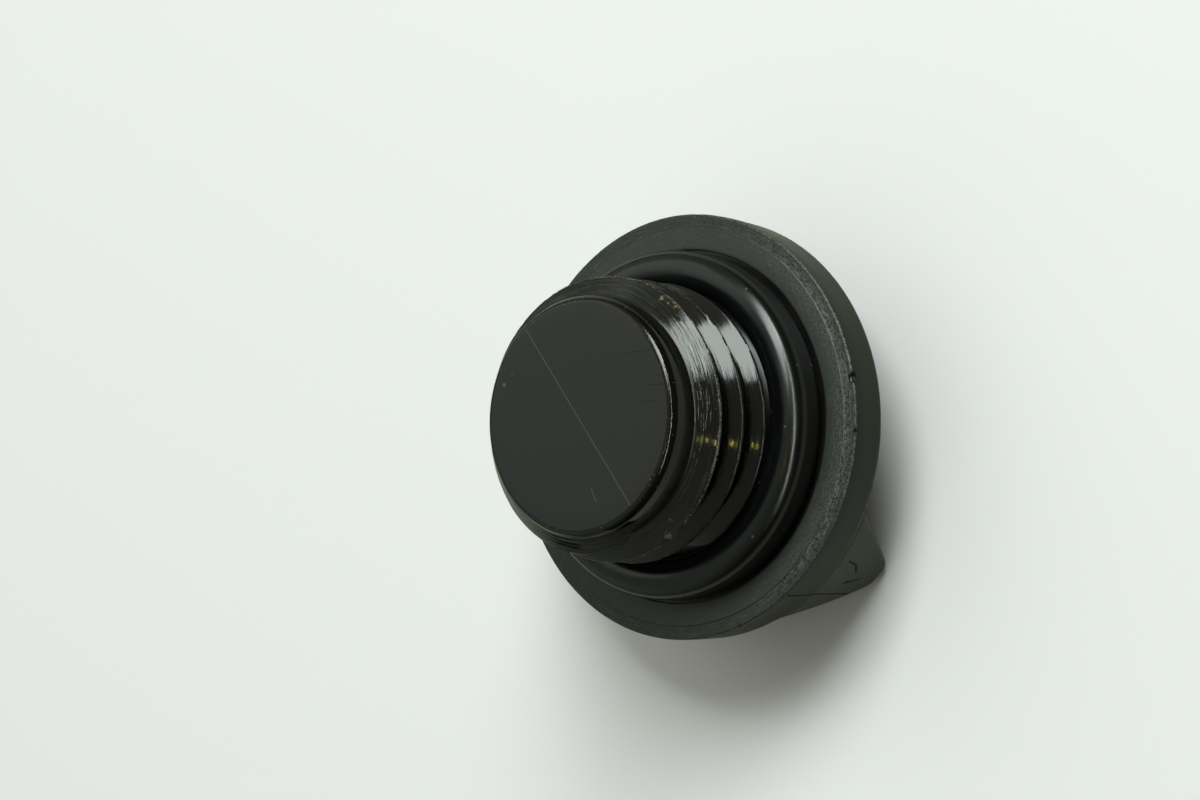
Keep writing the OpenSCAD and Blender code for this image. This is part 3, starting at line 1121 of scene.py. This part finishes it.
class FILLERCAP_OT_stage(bpy.types.Operator):
    """Adds the floor, the lamps and the camera"""

    bl_idname = "fillercap.stage"
    bl_label = "Stage"

    def execute(self, context):
        s = context.scene.filler_cap.stage
        scene = context.scene
        scene.view_settings.view_transform = "Standard"
        studio_world(s)
        half, z = s.floor / 2, CAP_LOW[2]
        corners = [(-half, -half, z), (half, -half, z), (half, half, z), (-half, half, z)]
        floor = mesh_object("floor", corners, [(0, 1, 2, 3)], pale_board(s))
        [area_lamp(s.lamp_distance, *lamp) for lamp in LAMPS]

        data = bpy.data.cameras.new("camera")
        data.lens = s.lens
        data.clip_start, data.clip_end = 0.01, 20
        camera = bpy.data.objects.new("camera", data)
        away = direction(math.degrees(s.azimuth), math.degrees(s.elevation))
        level = away.to_track_quat("Z", "Y").to_matrix()
        turned = level @ Matrix.Rotation(-s.roll, 3, "Z")
        camera.matrix_world = Matrix.Translation(Vector(s.aim) + away * s.distance) @ turned.to_4x4()
        scene.collection.objects.link(camera)
        scene.camera = camera
        return {"FINISHED"}


# Panel and registration

# Each group of settings, and the operator that it drives
PANEL_ROWS = (
    ("plug", "fillercap.plug"),
    ("thread", "fillercap.thread"),
    ("grip", "fillercap.grip"),
    ("ring", "fillercap.ring"),
    ("stage", "fillercap.stage"),
    ("colours", None),
)


class FILLERCAP_PT_panel(bpy.types.Panel):
    """Lists the pieces of the filler cap, with their sizes and colours"""

    bl_idname = "FILLERCAP_PT_panel"
    bl_label = "Filler cap"
    bl_space_type = "VIEW_3D"
    bl_region_type = "UI"
    bl_category = "Filler cap"

    def draw(self, context):
        settings = context.scene.filler_cap
        for group, operator in PANEL_ROWS:
            box = self.layout.box()
            if operator:
                box.operator(operator)
            values = getattr(settings, group)
            for name in values.__annotations__:
                box.prop(values, name)


CLASSES = (
    PlugSizes,
    ThreadSizes,
    GripSizes,
    RingSizes,
    StageSizes,
    CapColours,
    FillerCapSettings,
    FILLERCAP_OT_plug,
    FILLERCAP_OT_thread,
    FILLERCAP_OT_grip,
    FILLERCAP_OT_ring,
    FILLERCAP_OT_stage,
    FILLERCAP_PT_panel,
)


def register():
    for cls in CLASSES:
        bpy.utils.register_class(cls)
    bpy.types.Scene.filler_cap = PointerProperty(type=FillerCapSettings)


def unregister():
    del bpy.types.Scene.filler_cap
    for cls in reversed(CLASSES):
        bpy.utils.unregister_class(cls)


def main():
    """Builds every piece and the stage."""
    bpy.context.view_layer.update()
    register()
    bpy.ops.fillercap.plug()
    bpy.ops.fillercap.thread()
    bpy.ops.fillercap.grip()
    bpy.ops.fillercap.ring()
    bpy.ops.fillercap.stage()


if __name__ == "__main__":
    main()
